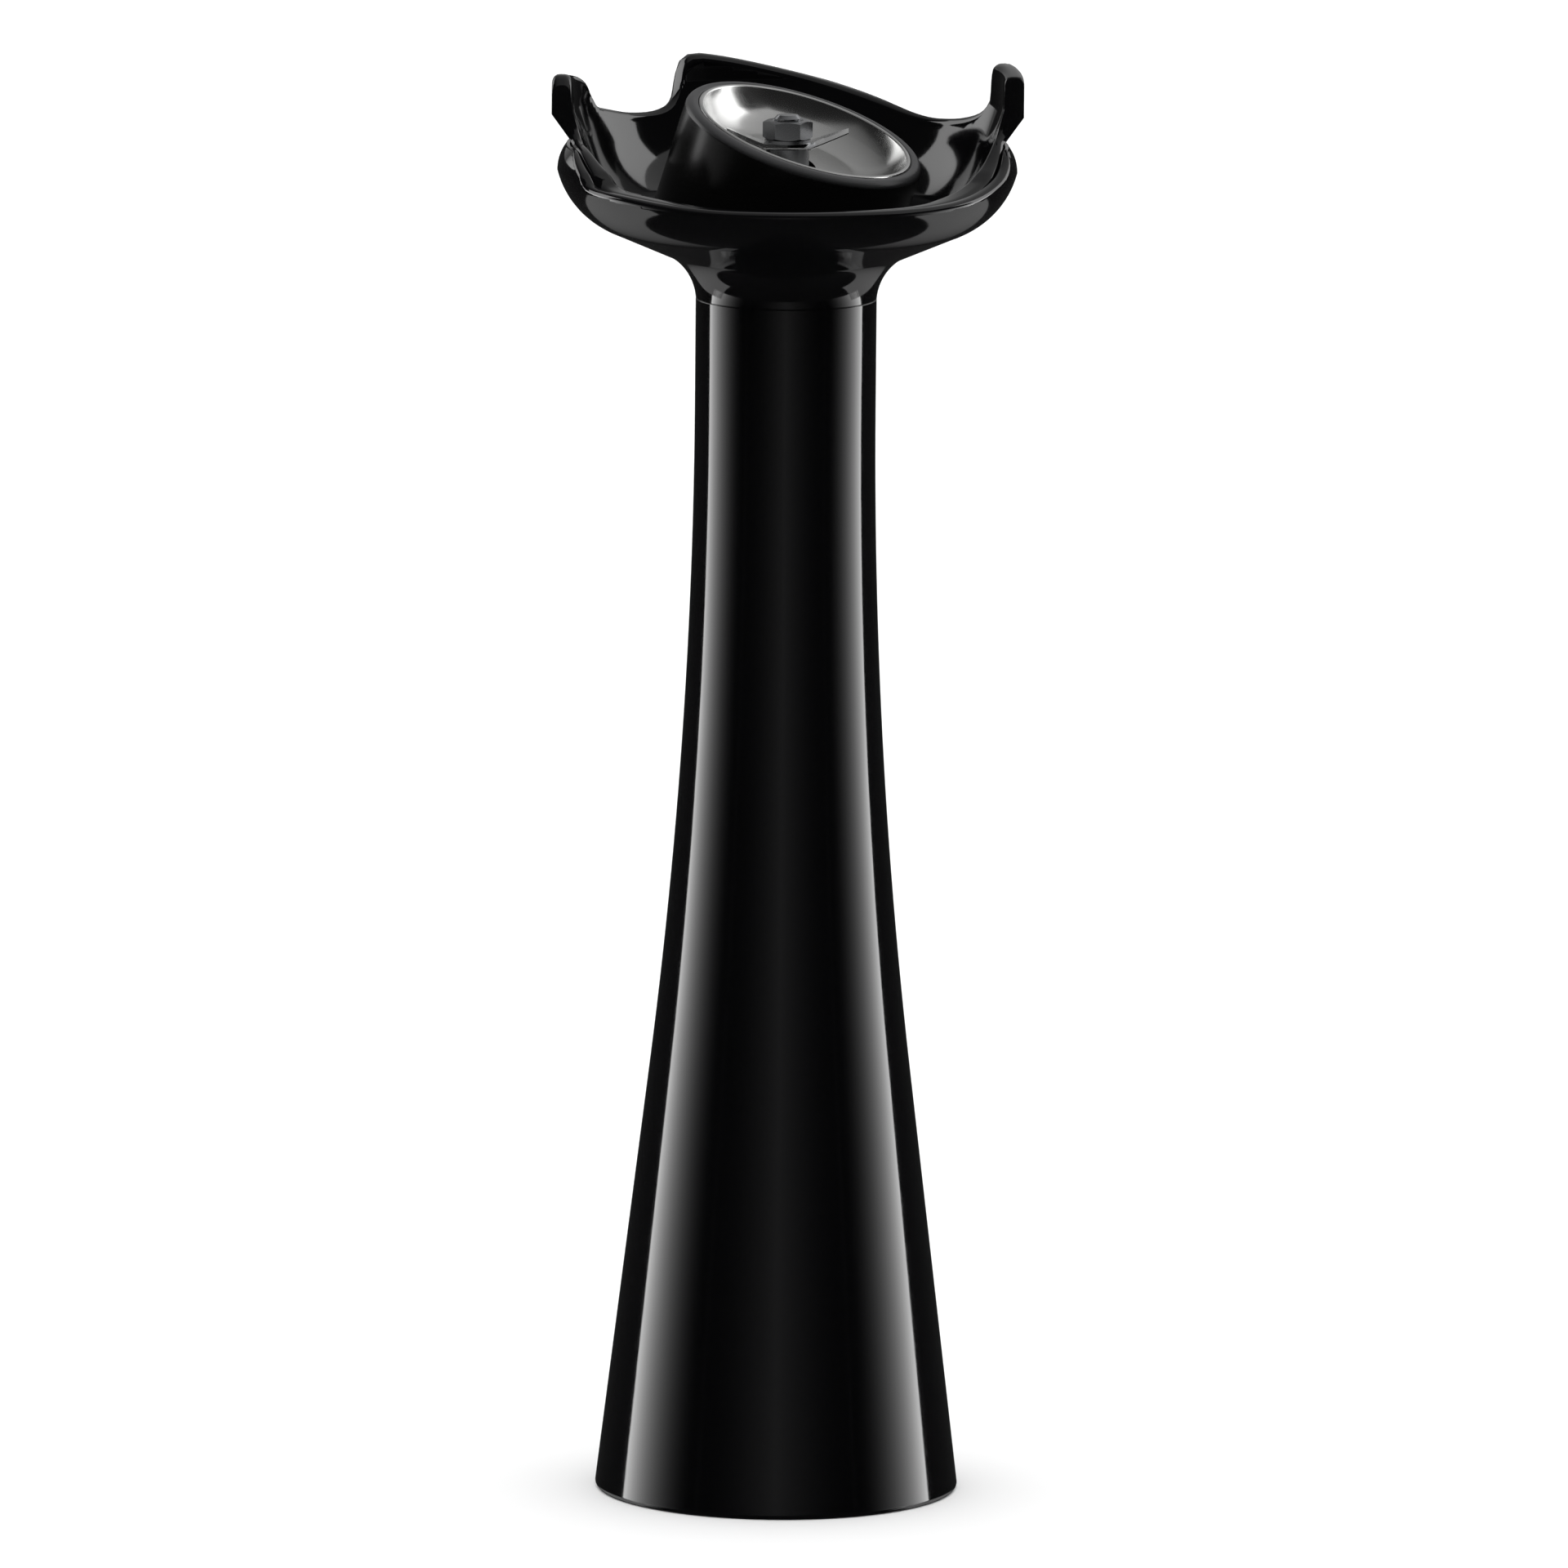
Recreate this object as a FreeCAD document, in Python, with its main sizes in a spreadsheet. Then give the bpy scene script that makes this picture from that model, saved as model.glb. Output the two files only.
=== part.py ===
import FreeCAD, Part
import math
import os
import Sketcher
from FreeCAD import Placement, Rotation, Vector

# Blending arm of a hand blender, standing on its wide coupling end with the blade guard upwards.
# Millimetres. Z is the drive axis, the origin is the middle of the ring it stands on, +Y is the
# side with the tall part of the guard, and the dish around the blade leans towards +X and -Y.

doc = FreeCAD.newDocument("blending_arm")
sheet = doc.addObject("Spreadsheet::Sheet", "sizes")
sub_parts = []


class Size:
    """A number together with the spreadsheet expression that gives it."""

    def __init__(self, value, text):
        self.value = value
        self.text = text

    def joined(self, other, sign, value):
        return Size(value, "(%s %s %s)" % (self.text, sign, as_size(other).text))

    def __add__(self, other):
        return self.joined(other, "+", self.value + as_size(other).value)

    def __sub__(self, other):
        return self.joined(other, "-", self.value - as_size(other).value)

    def __mul__(self, other):
        return self.joined(other, "*", self.value * as_size(other).value)

    def __truediv__(self, other):
        return self.joined(other, "/", self.value / as_size(other).value)


def as_size(number):
    return number if isinstance(number, Size) else Size(float(number), repr(float(number)))


def root(number):
    return Size(math.sqrt(number.value), "sqrt(%s)" % number.text)


row_count = 0


def size(alias, value):
    """Writes one driving dimension into the sheet and gives it back with its alias."""
    global row_count
    row_count += 1
    sheet.set("A%d" % row_count, alias.replace("_", " "))
    sheet.set("B%d" % row_count, repr(value))
    sheet.setAlias("B%d" % row_count, alias)
    return Size(float(value), "sizes." + alias)


# Leg
base_radius = size("base_radius", 27.1)
base_round = size("base_round", 0.8)
taper_radius = size("taper_radius", 19.35)
taper_height = size("taper_height", 64.0)
neck_radius = size("neck_radius", 13.4)
leg_height = size("leg_height", 179.0)
leg_wall = size("leg_wall", 2.2)
# Bell and guard, with heights counted from the seam between leg and bell
flare_curve = size("flare_curve", 8.2)
flare_height = size("flare_height", 6.3)
flare_spread = size("flare_spread", 3.9)
slope_height = size("slope_height", 10.0)
slope_inset = size("slope_inset", 8.1)
bell_radius = size("bell_radius", 34.0)
bell_wall = size("bell_wall", 1.9)
bell_belly_height = size("bell_belly_height", 19.0)
bell_lip_height = size("bell_lip_height", 22.9)
bell_floor_height = size("bell_floor_height", 9.9)
belly_curve = size("belly_curve", 13.0)
lip_curve = size("lip_curve", 6.0)
spigot_length = size("spigot_length", 9.0)
groove_drop = size("groove_drop", 5.5)
groove_width = size("groove_width", 2.0)
groove_depth = size("groove_depth", 1.6)
guard_radius = size("guard_radius", 34.9)
guard_wall = size("guard_wall", 2.9)
guard_draft_height = size("guard_draft_height", 7.0)
guard_hollow = size("guard_hollow", 17.2)
guard_floor = size("guard_floor", 1.9)
guard_gap = size("guard_gap", 0.15)
guard_lap = size("guard_lap", 0.3)
guard_cone = size("guard_cone", 4.3)
guard_thinning = size("guard_thinning", 0.4)
guard_draft_drop = size("guard_draft_drop", 1.9)
rim_height = size("rim_height", 17.5)
# Well around the blade, with depths counted along its own leaning axis
well_lean_x = size("well_lean_x", -0.30)
well_lean_y = size("well_lean_y", 0.20)
well_offset = size("well_offset", 2.6)
well_height = size("well_height", 24.9)
well_radius = size("well_radius", 18.2)
well_bevel = size("well_bevel", 0.9)
dish_radius = size("dish_radius", 16.4)
dish_bowl_radius = size("dish_bowl_radius", 13.8)
dish_bowl_depth = size("dish_bowl_depth", 2.46)
dish_floor_radius = size("dish_floor_radius", 9.0)
dish_depth = size("dish_depth", 4.9)
dish_hollow = size("dish_hollow", 8.0)
dish_sheet = size("dish_sheet", 0.8)
flange_reach = size("flange_reach", 5.0)
flange_sheet = size("flange_sheet", 1.2)
splash_drop = size("splash_drop", 8.5)
splash_sheet = size("splash_sheet", 2.5)
# Drive
shaft_radius = size("shaft_radius", 2.5)
thread_radius = size("thread_radius", 2.0)
running_gap = size("running_gap", 0.04)
soft_gap = size("soft_gap", 0.3)
fitting_gap = size("fitting_gap", 0.05)
blade_clear = size("blade_clear", 4.8)
blade_root = size("blade_root", 3.4)
blade_width = size("blade_width", 5.8)
blade_sheet = size("blade_sheet", 0.8)
blade_height = size("blade_height", 22.4)
blade_rise = size("blade_rise", 2.1)
blade_tip = size("blade_tip", 1.6)
blade_bow = size("blade_bow", 20.0)
hub_radius = size("hub_radius", 3.2)
hub_wall = size("hub_wall", 3.2)
washer_sheet = size("washer_sheet", 0.5)
washer_radius = size("washer_radius", 4.0)
nut_flats = size("nut_flats", 6.4)
nut_height = size("nut_height", 2.8)
bush_radius = size("bush_radius", 4.4)
bush_length = size("bush_length", 10.0)
bush_rise = size("bush_rise", 5.0)
seal_sheet = size("seal_sheet", 3.0)
seal_step = size("seal_step", 0.4)
ring_nut_reach = size("ring_nut_reach", 2.8)
ring_nut_sheet = size("ring_nut_sheet", 2.6)
notch_radius = size("notch_radius", 1.4)
clip_radius = size("clip_radius", 3.8)
clip_sheet = size("clip_sheet", 0.8)
tube_radius = size("tube_radius", 5.0)
tube_wall = size("tube_wall", 0.8)
tube_seat = size("tube_seat", 4.0)
tube_boss = size("tube_boss", 2.5)
guide_height = size("guide_height", 106.0)
guide_length = size("guide_length", 6.0)
guide_gap = size("guide_gap", 0.22)
window_radius = size("window_radius", 2.6)
window_circle = size("window_circle", 9.2)
# Coupling end
socket_radius = size("socket_radius", 20.5)
socket_depth = size("socket_depth", 20.0)
socket_start = size("socket_start", 0.8)
socket_bevel = size("socket_bevel", 0.8)
socket_crown = size("socket_crown", 3.0)
slot_width = size("slot_width", 8.0)
slot_depth = size("slot_depth", 1.4)
slot_length = size("slot_length", 12.0)
chamber_radius = size("chamber_radius", 12.5)
chamber_depth = size("chamber_depth", 15.0)
chamber_wall = size("chamber_wall", 4.0)
plate_sheet = size("plate_sheet", 3.0)
coupling_radius = size("coupling_radius", 7.5)
coupling_length = size("coupling_length", 12.0)
pin_radius = size("pin_radius", 1.0)
pin_drop = size("pin_drop", 3.0)
pin_recess = size("pin_recess", 1.2)
star_flats = size("star_flats", 8.25)
screw_radius = size("screw_radius", 1.25)
screw_head = size("screw_head", 2.3)
screw_cap = size("screw_cap", 1.6)
screw_recess = size("screw_recess", 0.8)
screw_socket = size("screw_socket", 0.875)
screw_length = size("screw_length", 8.0)
doc.recompute()

# The leg is a straight cone that runs tangent into an arc, which ends upright at the neck.
taper_slope = (base_radius - taper_radius) / taper_height
slope_length = root(taper_slope * taper_slope + 1)
neck_drop = taper_radius - neck_radius
neck_start = taper_height + neck_drop * taper_slope / (slope_length - 1)
neck_curve = neck_drop * slope_length / (slope_length - 1)

zero = as_size(0)
overrun = as_size(1)
clear_of_all = as_size(60)
seam = leg_height
bell_floor = seam + bell_floor_height
guard_floor_top = bell_floor + guard_floor
well_top = seam + well_height
blade_bottom = seam + blade_height


def origin_plane(body, role):
    return [feature for feature in body.Origin.OriginFeatures if feature.Role == role][0]


def bind(item, name, number):
    item.setExpression(name, as_size(number).text)


def arc_through(start, end, radius):
    """Arc from start to end, bulging to the right for a positive radius and left for a negative."""
    chord = end - start
    left = Vector(-chord.y, chord.x, 0).normalize()
    away = math.sqrt(radius * radius - chord.Length * chord.Length / 4)
    side = 1 if radius > 0 else -1
    centre = (start + end) * 0.5 + left * (away * side)
    middle = centre - left * (abs(radius) * side)
    return Part.Arc(start, middle, end) if radius > 0 else Part.Arc(end, middle, start)


def outline(body, role, points):
    """Closed sketch from (x, y) or (x, y, radius of the arc that leaves this point)."""
    sketch = body.newObject("Sketcher::SketchObject", body.Name + "_outline")
    sketch.AttachmentSupport = [(origin_plane(body, role), "")]
    sketch.MapMode = "FlatFace"
    corners = [(as_size(point[0]), as_size(point[1])) for point in points]
    spots = [Vector(x.value, y.value, 0) for x, y in corners]
    ends = []
    for index, point in enumerate(points):
        start = spots[index]
        end = spots[(index + 1) % len(points)]
        if len(point) == 2:
            edge = sketch.addGeometry(Part.LineSegment(start, end))
            ends.append((edge, 1, 2))
        else:
            radius = as_size(point[2])
            edge = sketch.addGeometry(arc_through(start, end, radius.value))
            ends.append((edge, 1, 2) if radius.value > 0 else (edge, 2, 1))
            rule = sketch.addConstraint(Sketcher.Constraint("Radius", edge, abs(radius.value)))
            sketch.setExpression("Constraints[%d]" % rule, "abs(%s)" % radius.text)
    for index, (edge, first, last) in enumerate(ends):
        previous, _, tail = ends[index - 1]
        sketch.addConstraint(Sketcher.Constraint("Coincident", previous, tail, edge, first))
        for kind, number, axis in (("DistanceX", corners[index][0], -2),
                                   ("DistanceY", corners[index][1], -1)):
            if number.text == zero.text:
                sketch.addConstraint(Sketcher.Constraint("PointOnObject", edge, first, axis))
            else:
                rule = sketch.addConstraint(
                    Sketcher.Constraint(kind, -1, 1, edge, first, number.value))
                sketch.setExpression("Constraints[%d]" % rule, number.text)
    return sketch


def new_body(label):
    body = doc.addObject("PartDesign::Body", label)
    body.Label = label
    return body


def turned(label, points):
    """A body turned about Z from its half section, given as radius and height."""
    body = new_body(label)
    sketch = outline(body, "XZ_Plane", points)
    turn = body.newObject("PartDesign::Revolution", label + "_turned")
    turn.Profile = sketch
    turn.ReferenceAxis = (sketch, ["V_Axis"])
    turn.Angle = 360
    body.Tip = turn
    return body


def ring(label, outer, inner, low, high):
    return turned(label, [(inner, low), (outer, low), (outer, high), (inner, high)])


def cylinder(label, radius, low, high, x=0, y=0):
    rod = doc.addObject("Part::Cylinder", label)
    bind(rod, "Radius", radius)
    bind(rod, "Height", as_size(high) - low)
    bind(rod, "Placement.Base.x", x)
    bind(rod, "Placement.Base.y", y)
    bind(rod, "Placement.Base.z", low)
    return rod


def box(label, lows, sides):
    block = doc.addObject("Part::Box", label)
    for name, side in zip(("Length", "Width", "Height"), sides):
        bind(block, name, side)
    for name, low in zip(("x", "y", "z"), lows):
        bind(block, "Placement.Base." + name, low)
    return block


def hexagon(label, flats, low, high):
    prism = doc.addObject("Part::Prism", label)
    prism.Polygon = 6
    bind(prism, "Circumradius", as_size(flats) / math.sqrt(3))
    bind(prism, "Height", as_size(high) - low)
    bind(prism, "Placement.Base.z", low)
    return prism


def cut(label, base, *tools):
    for index, tool in enumerate(tools):
        last = index == len(tools) - 1
        result = doc.addObject("Part::Cut", label if last else "%s_step_%d" % (label, index))
        result.Base = base
        result.Tool = tool
        base = result
    base.Label = label
    return base


def fused(label, *pieces):
    result = doc.addObject("Part::MultiFuse", label)
    result.Shapes = list(pieces)
    result.Label = label
    return result


def sub_part(item):
    sub_parts.append(item)
    return item


def around(count, radius, turn=0):
    """Positions of count features evenly spaced on a circle."""
    for index in range(count):
        angle = math.radians(turn + 360.0 * index / count)
        yield radius * math.cos(angle), radius * math.sin(angle)


# ---- leg shell -------------------------------------------------------------------------------

def leg_radius(height, inset=0):
    """Radius of the leg's cone at a height below the end of its straight taper."""
    return base_radius - taper_slope * height - inset


inner_foot = base_radius - leg_wall
sub_part(turned("leg_shell", [
    (inner_foot, zero),
    (base_radius - base_round, zero, base_round),
    (base_radius - taper_slope * base_round, base_round),
    (taper_radius, taper_height, zero - neck_curve),
    (neck_radius, neck_start),
    (neck_radius, seam),
    (neck_radius - leg_wall, seam),
    (neck_radius - leg_wall, neck_start, neck_curve + leg_wall),
    (taper_radius - leg_wall, taper_height),
]))

# ---- bell: flares from the neck into a shallow bowl with a rolled lip -------------------------

spigot_radius = neck_radius - leg_wall
spigot_low = seam - spigot_length
hub_bore = bush_radius + hub_wall
belly_height = seam + bell_belly_height
lip_height = seam + bell_lip_height
flare_end = seam + flare_height
flare_end_radius = neck_radius + flare_spread
slope_end = seam + slope_height
slope_end_radius = bell_radius - slope_inset
slope_run = slope_end_radius - flare_end_radius
slope_rise = slope_end - flare_end
slope_span = root(slope_run * slope_run + slope_rise * slope_rise)


def above_slope(offset):
    """Point above the end of the bell's sloping underside, at a distance square to the slope."""
    return (slope_end_radius - offset * slope_rise / slope_span,
            slope_end + offset * slope_run / slope_span)


def floor_edge(offset, floor):
    """Radius at which the slope, moved up by an offset, meets a flat floor."""
    radius, height = above_slope(offset)
    return radius - (height - floor) * slope_run / slope_rise


lip_roll = lip_height - belly_height
lip_inset = lip_curve - root(lip_curve * lip_curve - lip_roll * lip_roll)
groove_low = seam - groove_drop
groove_high = groove_low + groove_width
groove_radius = spigot_radius - groove_depth

bell_blank = turned("bell_blank", [
    (hub_bore, spigot_low),
    (spigot_radius, spigot_low),
    (spigot_radius, groove_low),
    (groove_radius, groove_low),
    (groove_radius, groove_high),
    (spigot_radius, groove_high),
    (spigot_radius, seam),
    (neck_radius, seam, zero - flare_curve),
    (flare_end_radius, flare_end),
    (slope_end_radius, slope_end, belly_curve),
    (bell_radius, belly_height, lip_curve),
    (bell_radius - lip_inset, lip_height),
    (bell_radius - bell_wall, lip_height),
    (bell_radius - bell_wall, belly_height, zero - (belly_curve - bell_wall)),
    above_slope(bell_wall),
    (floor_edge(bell_wall, bell_floor), bell_floor),
    (hub_bore, bell_floor),
])

# The rim's course around the guard: angle from +X and height above the rim level.
RIM = [
    (1, 15.8), (9, 16.3), (18, 16.6), (19.8, 15.8), (20.6, 10.4), (26, 8.4), (36, 6.9),
    (50, 6.4), (66, 8.8), (90, 12.2), (108, 14.6), (118.5, 15.3), (119.6, 9.8), (126, 7.0),
    (138, 7.0), (149, 8.4), (154.2, 9.0), (156.4, 12.4), (161, 13.9), (171, 14.8),
    (181.8, 15.8),
    (182.6, 5.8), (194, 5.9), (204, 3.4), (207, 2.4), (208.2, 0.7), (222, 0.5), (246, -0.5),
    (270, -0.5), (294, -0.5), (316, -0.5), (331, 0.4), (344, 2.8), (354, 6.2), (358.6, 8.0),
    (359.4, 15.6),
]


CUT_INSIDE = 0.62
CUT_OUTSIDE = 1.35


def rim_curve(radius):
    """Closed smooth curve at one radius that follows the rim's course."""
    level = (seam + rim_height).value
    poles = []
    for angle, rise in RIM:
        turn = math.radians(angle)
        poles.append(Vector(radius * math.cos(turn), radius * math.sin(turn), level + rise))
    curve = Part.BSplineCurve()
    curve.buildFromPoles(poles, True, 2)
    return curve.toShape()


def rim_cutter(label):
    """Everything above the rim, from inside the guard's wall to outside the bell."""
    outer = guard_radius.value * CUT_OUTSIDE
    inner = guard_radius.value * CUT_INSIDE
    face = Part.makeRuledSurface(rim_curve(inner), rim_curve(outer))
    cutter = doc.addObject("Part::Feature", label)
    cutter.Shape = face.extrude(Vector(0, 0, clear_of_all.value))
    return cutter


bell = sub_part(cut("bell", bell_blank, rim_cutter("bell_rim")))

# ---- guard crown: insert with the tall lobes -------------------------------------------------

guard_outer = bell_radius - bell_wall - guard_gap
guard_inner = guard_outer - guard_floor - guard_thinning
draft_foot = lip_height - guard_draft_drop
crown_top = seam + rim_height + clear_of_all / 2
crown_floor_edge = floor_edge(bell_wall + guard_floor, guard_floor_top)
crown_blank = turned("crown_blank", [
    (hub_bore, bell_floor),
    (floor_edge(bell_wall, bell_floor), bell_floor),
    (*above_slope(bell_wall), belly_curve - bell_wall),
    (guard_outer, belly_height),
    (guard_outer, lip_height + guard_lap),
    (guard_radius, lip_height + guard_cone),
    (guard_radius, crown_top),
    (guard_radius - guard_wall, crown_top),
    (guard_radius - guard_wall, draft_foot + guard_draft_height),
    (guard_inner, draft_foot, zero - guard_hollow),
    above_slope(bell_wall + guard_floor),
    (crown_floor_edge, guard_floor_top),
    (hub_bore, guard_floor_top),
])
sub_part(cut("guard_crown", crown_blank, rim_cutter("crown_rim")))

# ---- well collar and dish, built about their own leaning axis --------------------------------

lean = Vector(-well_lean_x.value, -well_lean_y.value, 1)
well_place = Placement(Vector(well_offset.value, 0, well_top.value), Rotation(Vector(0, 0, 1), lean))
sheet_across = dish_sheet * 0.74
sheet_down = dish_sheet * 0.67
seat_radius = dish_bowl_radius + sheet_across
seat_height = zero - dish_bowl_depth - sheet_down
seat_low = zero - dish_depth - dish_sheet
seat_hollow = dish_hollow + dish_sheet
collar_foot = guard_floor_top + washer_sheet

collar_blank = turned("collar_blank", [
    (zero, zero - clear_of_all),
    (well_radius, zero - clear_of_all),
    (well_radius, zero - well_bevel),
    (well_radius - well_bevel, zero),
    (dish_radius, zero),
    (seat_radius, seat_height, zero - seat_hollow),
    (dish_floor_radius, seat_low),
    (zero, seat_low),
])
collar_blank.Placement = well_place
dish_bore = hub_radius + soft_gap * 4
below = cylinder("below_collar", clear_of_all, seam - clear_of_all * 2, collar_foot)
flange_radius = hub_bore + flange_reach
flange_top = guard_floor_top + flange_sheet
flange_room = cylinder("flange_room", flange_radius + fitting_gap, seam, flange_top + fitting_gap)
slope_foot = above_slope(bell_wall + guard_floor)
foot_trim = turned("foot_trim", [
    (crown_floor_edge - soft_gap, seam),
    (clear_of_all, seam),
    (clear_of_all, slope_foot[1]),
    (slope_foot[0] - soft_gap, slope_foot[1]),
    (crown_floor_edge - soft_gap, guard_floor_top),
])
sub_part(cut("well_collar", collar_blank, below, foot_trim, flange_room,
             cylinder("collar_bore", dish_bore, seam, well_top + clear_of_all)))

dish_blank = turned("dish_blank", [
    (zero, seat_low),
    (dish_floor_radius, seat_low, seat_hollow),
    (seat_radius, seat_height),
    (dish_radius, zero),
    (dish_radius - dish_sheet, zero),
    (dish_bowl_radius, zero - dish_bowl_depth, zero - dish_hollow),
    (dish_floor_radius, zero - dish_depth),
    (zero, zero - dish_depth),
])
dish_blank.Placement = well_place
dish_hole = cylinder("dish_hole", dish_bore, seam, well_top + clear_of_all)
sub_part(cut("steel_dish", dish_blank, dish_hole))
sub_part(ring("collar_gasket", well_radius - groove_depth, flange_radius + soft_gap * 2,
              guard_floor_top, collar_foot))

# ---- upper bearing: carrier, ring nut, bush and seals ----------------------------------------

carrier_low = spigot_low - seal_sheet
carrier_seat = carrier_low + tube_seat
seal_radius = bush_radius + seal_step
upper_bush_low = seam - bush_rise
upper_bush_high = upper_bush_low + bush_length
seal_high = upper_bush_high + seal_sheet
sub_part(turned("bearing_carrier", [
    (tube_radius, carrier_low),
    (hub_bore, carrier_low),
    (hub_bore, guard_floor_top),
    (flange_radius, guard_floor_top),
    (flange_radius, flange_top),
    (seal_radius, flange_top),
    (seal_radius, upper_bush_high),
    (bush_radius, upper_bush_high),
    (bush_radius, carrier_seat),
    (tube_radius, carrier_seat),
]))
shaft_bore = shaft_radius + running_gap
washer_high = seal_high + washer_sheet
sub_part(ring("upper_bush", bush_radius, shaft_bore, upper_bush_low, upper_bush_high))
sub_part(ring("shaft_seal", seal_radius, shaft_bore, upper_bush_high, seal_high))
sub_part(ring("seal_washer", seal_radius, hub_radius + soft_gap, seal_high, washer_high))
ring_nut_radius = hub_bore + ring_nut_reach
ring_nut_low = spigot_low - ring_nut_sheet
ring_nut_blank = ring("ring_nut_blank", ring_nut_radius, hub_bore, ring_nut_low, spigot_low)
notches = []
for index, (x, y) in enumerate(around(4, (ring_nut_radius + notch_radius / 2).value)):
    notches.append(cylinder("nut_notch_%d" % index, notch_radius, ring_nut_low - overrun,
                            spigot_low, x, y))
sub_part(cut("hub_ring_nut", ring_nut_blank, *notches))
sub_part(ring("neck_oring", spigot_radius, groove_radius, groove_low, groove_high))
splash_high = well_top - splash_drop
sub_part(ring("splash_seal", dish_bore, hub_radius + soft_gap, splash_high - splash_sheet,
              splash_high))

# ---- shaft tube and mid guide ----------------------------------------------------------------

socket_top = socket_start + socket_depth
chamber_top = socket_top + chamber_depth
plate_top = chamber_top + plate_sheet
lower_bush_low = chamber_top
lower_bush_high = lower_bush_low + bush_length - overrun
sub_part(ring("shaft_tube", tube_radius, tube_radius - tube_wall, lower_bush_high, carrier_seat))

guide_top = guide_height + guide_length
guide_drop = neck_start - guide_top
guide_leg_radius = neck_radius + neck_curve - root(neck_curve * neck_curve - guide_drop * guide_drop)
guide_radius = guide_leg_radius - leg_wall - guide_gap
guide_blank = ring("guide_blank", guide_radius, tube_radius, guide_height, guide_top)
windows = []
for index, (x, y) in enumerate(around(3, window_circle.value)):
    windows.append(cylinder("guide_window_%d" % index, window_radius, guide_height - overrun,
                            guide_top + overrun, x, y))
sub_part(cut("mid_guide", guide_blank, *windows))

# ---- coupling end: socket collar, bearing plate, screws, bush --------------------------------

chamber_outer = chamber_radius + chamber_wall
crown_high = socket_top + socket_crown
socket_blank = turned("socket_blank", [
    (socket_radius + socket_bevel, socket_start),
    (leg_radius(socket_start, leg_wall), socket_start),
    (leg_radius(crown_high, leg_wall), crown_high),
    (chamber_outer, crown_high),
    (chamber_outer, chamber_top),
    (chamber_radius, chamber_top),
    (chamber_radius, socket_top),
    (socket_radius, socket_top),
    (socket_radius, socket_start + socket_bevel),
])
slots = []
for index in range(3):
    turn = 90 + 120 * index
    across = math.radians(turn - 90)
    slot = box("bayonet_slot_%d" % index,
               (slot_width / -2 * math.cos(across), slot_width / -2 * math.sin(across),
                socket_start - overrun),
               (socket_radius + slot_depth, slot_width, slot_length + overrun))
    slot.Placement.Rotation = Rotation(Vector(0, 0, 1), turn)
    slots.append(slot)
screw_circle = (chamber_radius + chamber_wall / 2).value
screw_foot = chamber_top - screw_length
screw_places = list(around(3, screw_circle, 30))
screw_holes = []
plate_holes = []
screws = []
for index, (x, y) in enumerate(screw_places):
    screw_holes.append(cylinder("screw_hole_%d" % index, screw_radius, screw_foot,
                                chamber_top, x, y))
    plate_holes.append(cylinder("plate_hole_%d" % index, screw_radius, chamber_top - overrun,
                                plate_top + overrun, x, y))
    shank = cylinder("screw_shank_%d" % index, screw_radius, screw_foot, plate_top, x, y)
    head = cylinder("screw_head_%d" % index, screw_head, plate_top, plate_top + screw_cap, x, y)
    recess = cylinder("screw_recess_%d" % index, screw_socket,
                      plate_top + screw_cap - screw_recess, plate_top + screw_cap + overrun, x, y)
    screws.append(cut("plate_screw_%d" % index, fused("screw_blank_%d" % index, shank, head),
                      recess))
sub_part(cut("coupling_collar", socket_blank, *(slots + screw_holes)))

boss_radius = tube_radius + tube_boss
boss_top = lower_bush_high + tube_seat
plate_blank = turned("plate_blank", [
    (bush_radius, chamber_top),
    (chamber_outer, chamber_top),
    (chamber_outer, plate_top),
    (boss_radius, plate_top),
    (boss_radius, boss_top),
    (tube_radius, boss_top),
    (tube_radius, lower_bush_high),
    (bush_radius, lower_bush_high),
])
sub_part(cut("bearing_plate", plate_blank, *plate_holes))
plate_screws = doc.addObject("Part::Compound", "plate_screws")
plate_screws.Links = screws
sub_part(plate_screws)
sub_part(ring("lower_bush", bush_radius, shaft_bore, lower_bush_low, lower_bush_high))

# ---- rotor: shaft, coupling, washers, clip, hub, blade, nut ----------------------------------

shoulder = washer_high + overrun * 3
blade_top = blade_bottom + blade_sheet
washer_top = blade_top + washer_sheet
nut_top = washer_top + nut_height
shaft_top = nut_top + clip_sheet
shaft_low = socket_top + tube_seat
coupling_low = socket_top + overrun
coupling_high = coupling_low + coupling_length
pin_height = coupling_high - pin_drop
pin_reach = coupling_radius - pin_recess


def cross_pin(label, reach):
    """Round bar along X through the drive axis."""
    pin = doc.addObject("Part::Cylinder", label)
    bind(pin, "Radius", pin_radius)
    bind(pin, "Height", as_size(reach) * 2)
    pin.Placement.Rotation = Rotation(Vector(0, 1, 0), 90)
    bind(pin, "Placement.Base.x", zero - reach)
    bind(pin, "Placement.Base.z", pin_height)
    return pin


shaft_blank = turned("shaft_blank", [
    (zero, shaft_low),
    (shaft_radius, shaft_low),
    (shaft_radius, shoulder),
    (thread_radius, shoulder),
    (thread_radius, shaft_top - thread_radius / 4),
    (thread_radius * 0.75, shaft_top),
    (zero, shaft_top),
])
sub_part(cut("drive_shaft", shaft_blank, cross_pin("shaft_pin_hole", coupling_radius)))
sub_part(cross_pin("coupling_pin", pin_reach))
coupling_blank = ring("coupling_blank", coupling_radius, shaft_radius, coupling_low, coupling_high)
star = []
for index in range(3):
    prism = hexagon("star_%d" % index, star_flats, coupling_low - overrun, shaft_low)
    prism.Placement.Rotation = Rotation(Vector(0, 0, 1), 20 * index)
    star.append(prism)
sub_part(cut("drive_coupling", coupling_blank, fused("star_socket", *star),
             cross_pin("coupling_pin_hole", pin_reach)))
clip_low = carrier_seat + clip_sheet
clip_high = clip_low + clip_sheet
sub_part(ring("lower_thrust_washer", washer_radius, shaft_bore, coupling_high,
              lower_bush_low - fitting_gap))
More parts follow.
